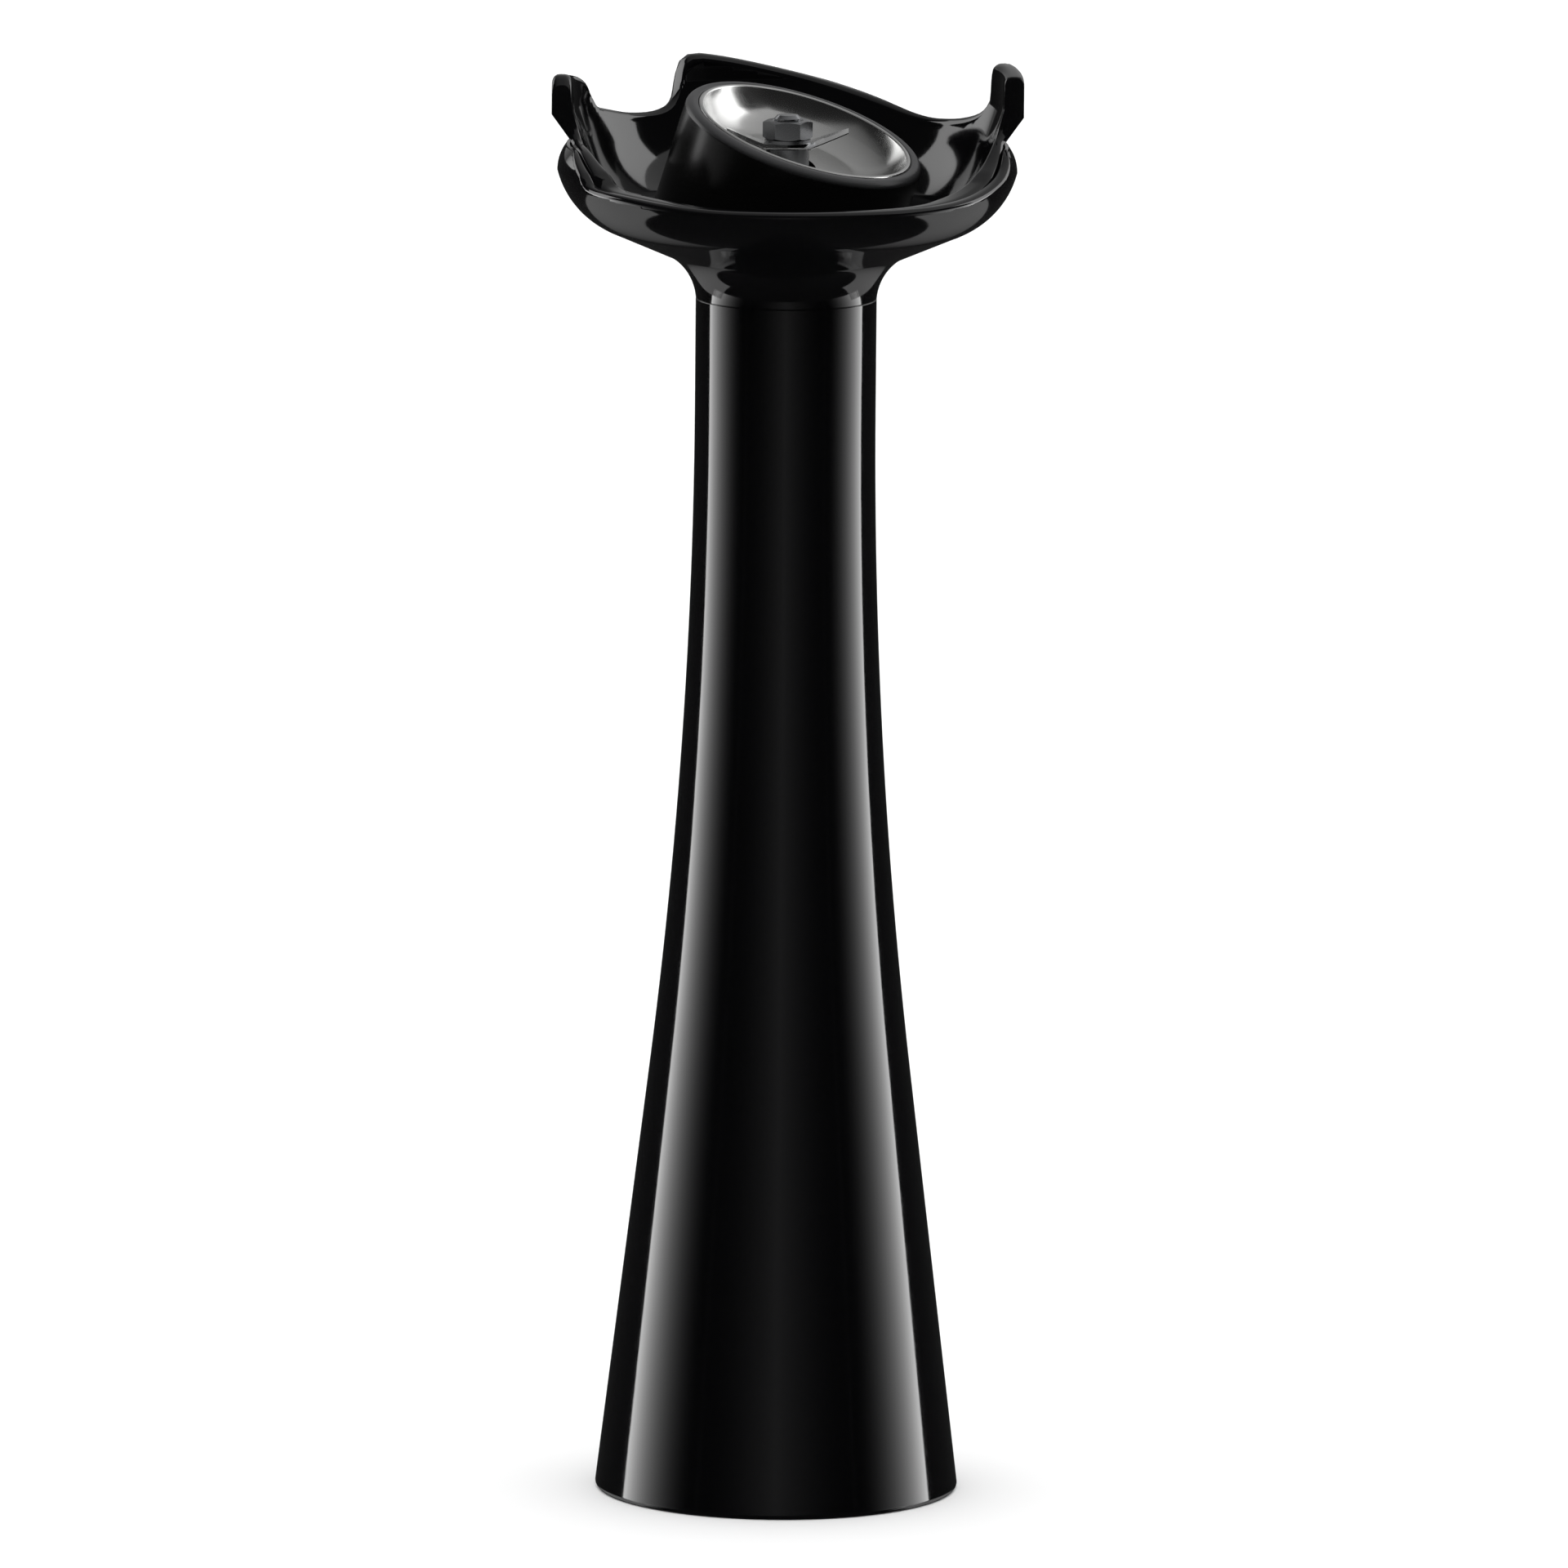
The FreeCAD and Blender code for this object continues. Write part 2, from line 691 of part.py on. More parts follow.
sub_part(ring("retaining_clip", clip_radius, shaft_radius, clip_low, clip_high))
sub_part(ring("upper_thrust_washer", clip_radius, shaft_bore, clip_high,
              upper_bush_low - fitting_gap))
sub_part(ring("blade_hub", hub_radius, thread_radius, shoulder, blade_bottom))

# The blade is a strip bent upwards on both sides, trimmed to a pointed plan.
blade_reach = dish_bowl_radius - blade_clear
tip_bottom = blade_bottom + blade_rise
tip_top = blade_top + blade_rise
strip = new_body("blade_strip")
strip_sketch = outline(strip, "XZ_Plane", [
    (zero - blade_root, blade_bottom),
    (blade_root, blade_bottom),
    (blade_reach, tip_bottom),
    (blade_reach, tip_top),
    (blade_root, blade_top),
    (zero - blade_root, blade_top),
    (zero - blade_reach, tip_top),
    (zero - blade_reach, tip_bottom),
])
strip_pad = strip.newObject("PartDesign::Pad", "strip_pad")
strip_pad.Profile = strip_sketch
strip_pad.Midplane = True
bind(strip_pad, "Length", blade_width * 2)
strip.Tip = strip_pad

plan = new_body("blade_plan")
half_width = blade_width / 2
half_tip = blade_tip / 2
plan_sketch = outline(plan, "XY_Plane", [
    (zero - blade_reach, zero - half_tip),
    (zero - hub_radius, zero - half_width),
    (hub_radius, zero - half_width, blade_bow),
    (blade_reach, half_tip),
    (hub_radius, half_width),
    (zero - hub_radius, half_width, blade_bow),
])
plan_pad = plan.newObject("PartDesign::Pad", "plan_pad")
plan_pad.Profile = plan_sketch
bind(plan_pad, "Length", blade_top + clear_of_all)
plan.Tip = plan_pad
blade_blank = doc.addObject("Part::Common", "blade_blank")
blade_blank.Base = strip
blade_blank.Tool = plan
blade_hole = cylinder("blade_hole", thread_radius, blade_bottom - overrun, blade_top + overrun)
sub_part(cut("blade", blade_blank, blade_hole))
sub_part(ring("blade_washer", blade_root, thread_radius, blade_top, washer_top))
nut_blank = hexagon("nut_blank", nut_flats, washer_top, nut_top)
nut_hole = cylinder("nut_hole", thread_radius, washer_top - overrun, nut_top + overrun)
sub_part(cut("blade_nut", nut_blank, nut_hole))

# ---- check and write -------------------------------------------------------------------------

doc.recompute()
for item in doc.Objects:
    if "Invalid" in item.State or "Error" in item.State:
        raise RuntimeError("%s did not compute: %s" % (item.Label, item.State))
os.makedirs("parts", exist_ok=True)
for item in sub_parts:
    shape = item.Shape
    if shape.isNull() or not shape.isValid() or shape.Volume <= 0:
        raise RuntimeError("%s has no valid solid" % item.Label)
    shape.exportStep(os.path.join("parts", item.Label + ".step"))
    box_mm = shape.BoundBox
    print("%-22s %9.1f mm3  z %.2f..%.2f  solids %d" % (
        item.Label, shape.Volume, box_mm.ZMin, box_mm.ZMax, len(shape.Solids)))
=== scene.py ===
import math

import bmesh
import bpy
from mathutils import Matrix, Vector


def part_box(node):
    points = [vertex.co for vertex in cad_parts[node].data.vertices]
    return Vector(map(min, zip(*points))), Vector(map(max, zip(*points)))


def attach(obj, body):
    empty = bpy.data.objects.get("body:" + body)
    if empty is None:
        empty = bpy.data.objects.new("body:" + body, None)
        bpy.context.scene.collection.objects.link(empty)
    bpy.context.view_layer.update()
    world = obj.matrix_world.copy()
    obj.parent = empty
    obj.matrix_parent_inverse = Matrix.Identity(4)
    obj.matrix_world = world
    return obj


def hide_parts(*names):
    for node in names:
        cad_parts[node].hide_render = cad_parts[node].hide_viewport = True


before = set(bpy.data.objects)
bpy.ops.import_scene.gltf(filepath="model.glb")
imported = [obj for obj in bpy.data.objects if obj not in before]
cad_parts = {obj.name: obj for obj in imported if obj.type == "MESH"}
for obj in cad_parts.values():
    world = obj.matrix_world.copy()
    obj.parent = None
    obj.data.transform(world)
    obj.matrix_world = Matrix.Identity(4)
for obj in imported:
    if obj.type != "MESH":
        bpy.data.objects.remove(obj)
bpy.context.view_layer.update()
scene = bpy.context.scene
MM = 0.001
UPRIGHT = Matrix.Identity(4)

# ---- sizes in millimetres --------------------------------------------------------------------

BASE_RADIUS, BASE_ROUND = 27.1, 0.8
TAPER_RADIUS, TAPER_HEIGHT = 19.35, 64.0
NECK_RADIUS, LEG_WALL = 13.4, 2.2
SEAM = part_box("leg_shell")[1].z / MM
BELL_RADIUS, BELL_WALL = 34.0, 1.9
BELLY = SEAM + 19.0
LIP = SEAM + 22.9
RIM_LEVEL = SEAM + 17.5
BELL_FLOOR = SEAM + 9.9
GUARD_RADIUS, GUARD_WALL, GUARD_FLOOR = 34.9, 2.9, 1.9
GUARD_OUTER = BELL_RADIUS - BELL_WALL - 0.15
HUB_BORE = 7.6
WELL_CENTRE = Vector((2.6, 0.0, SEAM + 24.9))
WELL_AXIS = Vector((0.30, -0.20, 1.0)).normalized()
WELL_RADIUS, WELL_BEVEL = 18.2, 0.9
DISH_RADIUS, DISH_SHEET, DISH_DEPTH, DISH_HOLLOW = 16.4, 0.8, 4.9, 8.0
DISH_BOWL = (13.8, -2.46)
DISH_FLOOR_RADIUS = 9.0
DISH_BORE = 4.4
COLLAR_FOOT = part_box("collar_gasket")[1].z / MM


# ---- colour and nodes ------------------------------------------------------------------------

def linear(hex_colour):
    """Linear RGBA from an sRGB hex colour."""
    channels = [int(hex_colour[i:i + 2], 16) / 255 for i in (1, 3, 5)]
    bent = [c / 12.92 if c <= 0.04045 else ((c + 0.055) / 1.055) ** 2.4 for c in channels]
    return (*bent, 1.0)


def add(tree, kind, settings=None, **inputs):
    """Adds a node; a tuple (node, output) links an input, anything else sets it."""
    node = tree.nodes.new(kind)
    for name, value in (settings or {}).items():
        setattr(node, name, value)
    for name, value in inputs.items():
        key = int(name[1:]) if name[0] == "_" else name.replace("_", " ")
        if isinstance(value, tuple) and isinstance(value[0], bpy.types.Node):
            tree.links.new(value[0].outputs[value[1]], node.inputs[key])
        else:
            node.inputs[key].default_value = value
    return node


def material(name, **surface):
    """Principled material; returns it with its tree and shader for patterns to be added."""
    made = bpy.data.materials.new(name)
    made.use_nodes = True
    made.node_tree.nodes.clear()
    shader = add(made.node_tree, "ShaderNodeBsdfPrincipled", **surface)
    add(made.node_tree, "ShaderNodeOutputMaterial", Surface=(shader, "BSDF"))
    return made, made.node_tree, shader


def roughened(tree, shader, pattern, low, high, **span):
    """Lets a pattern move the roughness between two values."""
    dull = add(tree, "ShaderNodeMapRange", Value=pattern, To_Min=low, To_Max=high, **span)
    tree.links.new(dull.outputs[0], shader.inputs["Roughness"])


def raised(tree, shader, pattern, strength, distance):
    """Lets a pattern stand up from the surface; distance is in metres."""
    bump = add(tree, "ShaderNodeBump", Height=pattern, Strength=strength, Distance=distance)
    tree.links.new(bump.outputs[0], shader.inputs["Normal"])


def two_tone(tree, shader, pattern, low, high, low_at=0.0, high_at=1.0):
    """Lets a pattern mix the colour from one tone to another."""
    tint = add(tree, "ShaderNodeValToRGB", Fac=pattern)
    for element, tone, position in zip(tint.color_ramp.elements, (low, high), (low_at, high_at)):
        element.color = linear(tone)
        element.position = position
    tree.links.new(tint.outputs[0], shader.inputs["Base Color"])


def lathe_frame(tree, centre=(0, 0, 0), axis=None):
    """Object coordinates in metres, moved to a piece's own axis."""
    where = add(tree, "ShaderNodeTexCoord")
    if axis is None:
        return where, "Object"
    turn = Vector((0, 0, 1)).rotation_difference(axis).inverted()
    shift = -(turn @ (Vector(centre) * MM))
    mapped = add(tree, "ShaderNodeMapping", Vector=(where, "Object"),
                 Location=shift, Rotation=turn.to_euler())
    return mapped, "Vector"


# ---- materials -------------------------------------------------------------------------------

def gloss_abs(polish=0.07):
    """Injection-moulded ABS from a mirror-polished tool: black with a deep gloss, the faint
    flow waviness of a thin wall and hairline wipe marks that only show in the highlights."""
    made, tree, shader = material("gloss_abs_black", Base_Color=linear("#060607"),
                                  Roughness=polish, IOR=1.53)
    place = add(tree, "ShaderNodeTexCoord")
    # moulding waviness about 9 mm across, a few microns high
    waves = add(tree, "ShaderNodeTexNoise", Vector=(place, "Object"), Scale=110.0, Detail=1.0)
    # wiping hairlines, drawn about 0.3 mm wide so that they can show at all
    stretched = add(tree, "ShaderNodeMapping", Vector=(place, "Object"), Scale=(1.0, 1.0, 0.06))
    hairs = add(tree, "ShaderNodeTexNoise", Vector=(stretched, "Vector"), Scale=3200.0,
                Detail=2.0)
    roughened(tree, shader, (hairs, "Fac"), polish * 0.85, polish * 1.35, From_Min=0.35,
              From_Max=0.75)
    raised(tree, shader, (waves, "Fac"), 0.012, 0.001)
    return made


def spark_plastic(name, colour, roughness, grit_mm=0.35, depth=0.25):
    """Moulded plastic from a spark-eroded tool: a fine even grain that breaks the light up."""
    made, tree, shader = material(name, Base_Color=linear(colour), Roughness=roughness, IOR=1.5)
    place = add(tree, "ShaderNodeTexCoord")
    grain = add(tree, "ShaderNodeTexNoise", Vector=(place, "Object"), Scale=1 / (grit_mm * MM),
                Detail=3.0)
    tone = add(tree, "ShaderNodeTexNoise", Vector=(place, "Object"), Scale=60.0, Detail=2.0)
    roughened(tree, shader, (tone, "Fac"), roughness - 0.05, roughness + 0.07)
    raised(tree, shader, (grain, "Fac"), depth, 0.00005)
    return made


def turned_steel(name, colour, roughness, line_mm, centre=(0, 0, 0), axis=None, depth=0.2):
    """Stainless steel finished while it spins: rings around its axis, line_mm apart, that
    spread each highlight into a fan."""
    made, tree, shader = material(name, Base_Color=linear(colour), Metallic=1.0,
                                  Roughness=roughness)
    place = lathe_frame(tree, centre, axis)
    rings = add(tree, "ShaderNodeTexWave", {"wave_type": "RINGS", "rings_direction": "Z"},
                Vector=place, Scale=1 / (line_mm * MM) / 20, Distortion=0.6, Detail=2.0,
                Detail_Scale=1.5)
    smears = add(tree, "ShaderNodeTexNoise", Vector=place, Scale=240.0, Detail=2.0)
    roughened(tree, shader, (smears, "Fac"), roughness * 0.75, roughness * 1.35)
    raised(tree, shader, (rings, "Fac"), depth, 0.00002)
    return made


def ground_steel(name, colour, roughness, along=(0.05, 1.0, 1.0)):
    """Blade steel ground on a belt: parallel scratches across the blade."""
    made, tree, shader = material(name, Base_Color=linear(colour), Metallic=1.0,
                                  Roughness=roughness)
    place = add(tree, "ShaderNodeTexCoord")
    stretched = add(tree, "ShaderNodeMapping", Vector=(place, "Object"), Scale=along)
    scratches = add(tree, "ShaderNodeTexNoise", Vector=(stretched, "Vector"), Scale=4500.0,
                    Detail=3.0)
    roughened(tree, shader, (scratches, "Fac"), roughness * 0.7, roughness * 1.5)
    raised(tree, shader, (scratches, "Fac"), 0.25, 0.00003)
    return made


def sintered_bronze():
    """Pressed and sintered bronze powder: open pores a few tenths of a millimetre apart."""
    made, tree, shader = material("sintered_bronze", Base_Color=linear("#8a6434"),
                                  Metallic=1.0, Roughness=0.45)
    place = add(tree, "ShaderNodeTexCoord")
    pores = add(tree, "ShaderNodeTexVoronoi", Vector=(place, "Object"), Scale=3500.0)
    two_tone(tree, shader, (pores, "Distance"), "#4c361c", "#9a7440", 0.12, 0.4)
    return made


def silicone():
    """Black silicone rubber: soft sheen with a dusting of talc."""
    made, tree, shader = material("silicone_black", Base_Color=linear("#151515"),
                                  Roughness=0.6, IOR=1.43)
    place = add(tree, "ShaderNodeTexCoord")
    dust = add(tree, "ShaderNodeTexNoise", Vector=(place, "Object"), Scale=900.0, Detail=4.0)
    two_tone(tree, shader, (dust, "Fac"), "#101010", "#232323")
    return made


def collar_plastic():
    """Black PBT collar: deep black moulded wall, with a painted highlight that colours the lip a
    satin grey towards its top.
    """
    made, tree, shader = material("satin_pbt_collar", Roughness=0.3, IOR=1.5,
                                  Specular_IOR_Level=0.3)
    place = lathe_frame(tree, WELL_CENTRE, WELL_AXIS)
    split = add(tree, "ShaderNodeSeparateXYZ", Vector=place)
    # painted highlight: the colour rises from black to grey towards the lip, standing in for the
    # light the upturned crest catches
    lip = add(tree, "ShaderNodeMapRange", Value=(split, "Z"), From_Min=-WELL_BEVEL * 1.2 * MM,
              From_Max=-0.2 * MM)
    grain = add(tree, "ShaderNodeTexNoise", Vector=place, Scale=2600.0, Detail=2.0)
    shade = add(tree, "ShaderNodeMath", {"operation": "MULTIPLY_ADD"}, _0=(grain, "Fac"),
                _1=0.2, _2=-0.1)
    level = add(tree, "ShaderNodeMath", {"operation": "ADD", "use_clamp": True},
                _0=(lip, "Result"), _1=(shade, 0))
    # painted highlight on the lip, plus a faint random grain in the tone
    two_tone(tree, shader, (level, 0), "#050505", "#303031")
    roughened(tree, shader, (level, 0), 0.25, 0.4)
    return made


BLACK_ABS = gloss_abs()
COLLAR_PLASTIC = collar_plastic()
DISH_STEEL = turned_steel("polished_stainless_spun", "#c4c4c3", 0.2, 0.5, WELL_CENTRE,
                          WELL_AXIS, 0.15)
NUT_STEEL = turned_steel("turned_stainless", "#8f9092", 0.25, 0.2)
BLADE_STEEL = ground_steel("ground_stainless_blade", "#e0e0e0", 0.22)
SEAL = silicone()
BRONZE = sintered_bronze()
INNER_NYLON = spark_plastic("glass_filled_nylon_dark", "#2a2a2c", 0.5)
SOCKET_PLASTIC = spark_plastic("moulded_pbt_charcoal", "#1c1c1d", 0.4)
NATURAL_NYLON = spark_plastic("natural_nylon", "#cbc8bd", 0.42, 0.5, 0.15)


# ---- mesh making -----------------------------------------------------------------------------

def arc_points(start, end, radius, count):
    """Points after start up to end on an arc that bulges to the right (or left if negative)."""
    start, end = Vector(start), Vector(end)
    chord = end - start
    left = Vector((-chord.y, chord.x)).normalized()
    away = math.sqrt(max(radius * radius - chord.length_squared / 4, 0.0))
    centre = (start + end) / 2 + left * math.copysign(away, radius)
    first, last = start - centre, end - centre
    sweep = math.atan2(first.x * last.y - first.y * last.x, first.dot(last))
    spots = []
    for step in range(1, count + 1):
        turn = sweep * step / count
        spots.append((centre.x + first.x * math.cos(turn) - first.y * math.sin(turn),
                      centre.y + first.x * math.sin(turn) + first.y * math.cos(turn)))
    return spots


def section(points, fineness=1.0):
    """Radius and height path; a third number is the radius of the arc to the next point."""
    path = [points[0][:2]]
    for here, there in zip(points, points[1:]):
        if len(here) == 3:
            span = math.dist(here[:2], there[:2])
            turn = 2 * math.asin(min(1.0, span / 2 / abs(here[2])))
            count = max(4, int(max(math.degrees(turn) / 4, span / 4) * fineness))
            path += arc_points(here[:2], there[:2], here[2], count)
        else:
            path.append(there[:2])
    return path


def solid(name, columns, closed_around, place, finish, body, replaced, sharp=32,
          capped=False):
    """Skins columns of points (each a closed loop in section) into one closed mesh."""
    mesh = bmesh.new()
    rows = [[mesh.verts.new(place @ (Vector(point) * MM)) for point in column]
            for column in columns]
    count = len(rows)
    for index in range(count if closed_around else count - 1):
        one, two = rows[index], rows[(index + 1) % count]
        for k in range(len(one)):
            after = (k + 1) % len(one)
            mesh.faces.new((one[k], two[k], two[after], one[after]))
    if capped:
        mesh.faces.new(rows[0])
        mesh.faces.new(rows[-1])
    bmesh.ops.remove_doubles(mesh, verts=mesh.verts, dist=2e-6)
    bmesh.ops.dissolve_degenerate(mesh, dist=1e-6, edges=mesh.edges)
    bmesh.ops.recalc_face_normals(mesh, faces=mesh.faces)
    data = bpy.data.meshes.new(name)
    mesh.to_mesh(data)
    mesh.free()
    shown(name, data, finish, body, replaced, sharp)


def shown(name, data, finish, body, replaced, sharp=32):
    """Makes a mesh a smooth piece in one finish that rides on a body."""
    data.shade_smooth()
    data.set_sharp_from_angle(angle=math.radians(sharp))
    data.materials.clear()
    data.materials.append(finish)
    piece = bpy.data.objects.new(name, data)
    scene.collection.objects.link(piece)
    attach(piece, body)
    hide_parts(*replaced)


def turned(name, points, finish, body, replaced, segments):
    """A piece turned from a closed half section of radius and height."""
    path = section(points + [points[0]])[:-1]
    columns = []
    for step in range(segments):
        angle = 2 * math.pi * step / segments
        columns.append([(r * math.cos(angle), r * math.sin(angle), z) for r, z in path])
    solid(name, columns, True, UPRIGHT, finish, body, replaced)


# ---- leg -------------------------------------------------------------------------------------

slope = (BASE_RADIUS - TAPER_RADIUS) / TAPER_HEIGHT
stretch = math.hypot(1, slope)
neck_start = TAPER_HEIGHT + (TAPER_RADIUS - NECK_RADIUS) * slope / (stretch - 1)
neck_curve = (TAPER_RADIUS - NECK_RADIUS) * stretch / (stretch - 1)
SEAM_EDGE = 0.12

turned("leg_skin", [
    (BASE_RADIUS - LEG_WALL, 0),
    (BASE_RADIUS - BASE_ROUND, 0, BASE_ROUND),
    (BASE_RADIUS - slope * BASE_ROUND, BASE_ROUND),
    (TAPER_RADIUS, TAPER_HEIGHT, -neck_curve),
    (NECK_RADIUS, neck_start),
    (NECK_RADIUS, SEAM - SEAM_EDGE, SEAM_EDGE),
    (NECK_RADIUS - SEAM_EDGE, SEAM),
    (NECK_RADIUS - LEG_WALL, SEAM),
    (NECK_RADIUS - LEG_WALL, neck_start, neck_curve + LEG_WALL),
    (TAPER_RADIUS - LEG_WALL, TAPER_HEIGHT),
], BLACK_ABS, "arm", ["leg_shell"], segments=192)

# ---- rim of the guard ------------------------------------------------------------------------

# The rim's course around the guard: angle from +X in degrees and height above the rim level.
RIM = [
    (1, 15.8), (9, 16.3), (18, 16.6), (19.8, 15.8), (20.6, 10.4), (26, 8.4), (36, 6.9),
    (50, 6.4), (66, 8.8), (90, 12.2), (108, 14.6), (118.5, 15.3), (119.6, 9.8), (126, 7.0),
    (138, 7.0), (149, 8.4), (154.2, 9.0), (156.4, 12.4), (161, 13.9), (171, 14.8),
    (181.8, 15.8),
    (182.6, 5.8), (194, 5.9), (204, 3.4), (207, 2.4), (208.2, 0.7), (222, 0.5), (246, -0.5),
    (270, -0.5), (294, -0.5), (316, -0.5), (331, 0.4), (344, 2.8), (354, 6.2), (358.6, 8.0),
    (359.4, 15.6),
]


def rim_course(longest_step=2.0):
    """Angles and heights along the smooth curve that the rim's points control."""
    spots = []
    total = len(RIM)
    for index, (angle, rise) in enumerate(RIM):
        back_angle, back_rise = RIM[index - 1]
        next_angle, next_rise = RIM[(index + 1) % total]
        back_angle -= 360 if index == 0 else 0
        next_angle += 360 if index == total - 1 else 0
        start = ((back_angle + angle) / 2, (back_rise + rise) / 2)
        end = ((angle + next_angle) / 2, (rise + next_rise) / 2)
        reach = max(end[0] - start[0], abs(end[1] - start[1]) * 1.6)
        count = max(3, math.ceil(reach / longest_step))
        for step in range(count):
            t = step / count
            spots.append(tuple((1 - t) ** 2 * a + 2 * t * (1 - t) * b + t * t * c
                               for a, b, c in zip(start, (angle, rise), end)))
    return spots


def height_on(path, height):
    """Radius of a rising or falling path at a height."""
    for (r1, z1), (r2, z2) in zip(path, path[1:]):
        if min(z1, z2) <= height <= max(z1, z2) and z1 != z2:
            return r1 + (r2 - r1) * (height - z1) / (z2 - z1)
    return path[-1][0]


def clipped(path, height):
    """The path with every point above a height brought down to where it crosses it."""
    top = (height_on(path, height), height)
    return [point if point[1] <= height else top for point in path]


def rimmed(name, outer, inner, top_of, edge, finish, replaced):
    """A bowl-like wall whose upper edge follows the rim, rounded by edge."""
    columns = []
    for angle, rise in rim_course():
        top = top_of(RIM_LEVEL + rise)
        wall = height_on(outer, top - 0.02) - height_on(inner, top - 0.02)
        radius = min(edge, wall * 0.48)
        shoulder = top - radius
        left, right = clipped(outer, shoulder), clipped(inner, shoulder)
        r_out, r_in = height_on(outer, shoulder), height_on(inner, shoulder)
        bend = [math.pi / 2 * k / 5 for k in range(1, 6)]
        over = [(r_out - radius + radius * math.cos(b), shoulder + radius * math.sin(b))
                for b in bend]
        over += [(r_in + radius - radius * math.sin(b), shoulder + radius * math.cos(b))
                 for b in [0] + bend[:-1]]
        turn = math.radians(angle)
        columns.append([(r * math.cos(turn), r * math.sin(turn), z)
                        for r, z in left + over + right])
    solid(name, columns, True, UPRIGHT, finish, "arm", replaced, 40)


def lengthened(path, step):
    """The path with its long straight runs divided."""
    spots = [path[0]]
    for here, there in zip(path, path[1:]):
        count = max(1, round(math.dist(here, there) / step))
        for k in range(1, count + 1):
            spots.append(tuple(a + (b - a) * k / count for a, b in zip(here, there)))
    return spots


# ---- bell ------------------------------------------------------------------------------------

FLARE_SPREAD, FLARE_HEIGHT, FLARE_CURVE = 3.9, 6.3, 8.1
SLOPE_INSET, SLOPE_HEIGHT, SLOPE_CURVE = 8.1, 10.0, 13.0
FLARE_END = (NECK_RADIUS + FLARE_SPREAD, SEAM + FLARE_HEIGHT)
SLOPE_END = (BELL_RADIUS - SLOPE_INSET, SEAM + SLOPE_HEIGHT)
INNER_CURVE = 11.1
LIP_CURVE = 6.0
lip_inset = LIP_CURVE - math.sqrt(LIP_CURVE ** 2 - (LIP - BELLY) ** 2)
slope_run, slope_rise = SLOPE_END[0] - FLARE_END[0], SLOPE_END[1] - FLARE_END[1]
slope_span = math.hypot(slope_run, slope_rise)


def above_slope(offset):
    """Point square above the end of the sloping underside."""
    return (SLOPE_END[0] - offset * slope_rise / slope_span,
            SLOPE_END[1] + offset * slope_run / slope_span)


def floor_edge(offset, floor):
    """Radius where the slope, moved up by an offset, meets a flat floor."""
    radius, height = above_slope(offset)
    return radius - (height - floor) * slope_run / slope_rise


bell_outer = section([
    (HUB_BORE, SEAM),
    (NECK_RADIUS - SEAM_EDGE, SEAM, -SEAM_EDGE),
    (NECK_RADIUS, SEAM + SEAM_EDGE, -FLARE_CURVE),
    FLARE_END,
    (*SLOPE_END, SLOPE_CURVE),
    (BELL_RADIUS, BELLY, LIP_CURVE),
    (BELL_RADIUS - lip_inset, LIP),
], 2.0)
bell_inner = section([
    (BELL_RADIUS - BELL_WALL, LIP),
    (BELL_RADIUS - BELL_WALL, BELLY, -INNER_CURVE),
    above_slope(BELL_WALL),
    (floor_edge(BELL_WALL, BELL_FLOOR), BELL_FLOOR),
    (HUB_BORE, BELL_FLOOR - 0.001),
])
rimmed("bell_skin", bell_outer, lengthened(bell_inner, 1.5), lambda top: min(LIP, top), 0.8,
       BLACK_ABS, ["bell"])

# ---- guard crown -----------------------------------------------------------------------------

guard_inner = GUARD_OUTER - GUARD_FLOOR - 0.4
ABOVE_RIM = SEAM + 47.5
LOW_EDGE_DROP, LOW_EDGE_BELOW = 0.35, LIP - 3
crown_outer = section([
    (HUB_BORE, BELL_FLOOR + 0.01),
    (floor_edge(BELL_WALL, BELL_FLOOR), BELL_FLOOR + 0.01),
    (*above_slope(BELL_WALL), INNER_CURVE),
    (GUARD_OUTER, BELLY),
    (GUARD_OUTER, LIP + 0.3),
    (GUARD_RADIUS, LIP + 4.3),
    (GUARD_RADIUS, ABOVE_RIM),
])
crown_inner = section([
    (GUARD_RADIUS - GUARD_WALL, ABOVE_RIM),
    (GUARD_RADIUS - GUARD_WALL, LIP + 5.1),
    (guard_inner, LIP - 1.9, -17.2),
    above_slope(BELL_WALL + GUARD_FLOOR),
    (floor_edge(BELL_WALL + GUARD_FLOOR, BELL_FLOOR + GUARD_FLOOR), BELL_FLOOR + GUARD_FLOOR),
    (HUB_BORE, BELL_FLOOR + GUARD_FLOOR - 0.001),
], 2.0)


def crown_top(rim):
    """Height of the crown's edge: just inside the bell's own edge where the rim runs low."""
    return rim - LOW_EDGE_DROP if rim < LOW_EDGE_BELOW else rim


rimmed("guard_crown_skin", lengthened(crown_outer, 0.8), lengthened(crown_inner, 0.8), crown_top,
       1.1, BLACK_ABS, ["guard_crown"])

# ---- well: collar and dish on their leaning axis -----------------------------------------------

well_turn = Vector((0, 0, 1)).rotation_difference(WELL_AXIS).to_matrix().to_4x4()
WELL_PLACE = Matrix.Translation(WELL_CENTRE * MM) @ well_turn
seat_low = -DISH_DEPTH - DISH_SHEET
seat = (DISH_BOWL[0] + DISH_SHEET * 0.74, DISH_BOWL[1] - DISH_SHEET * 0.67)


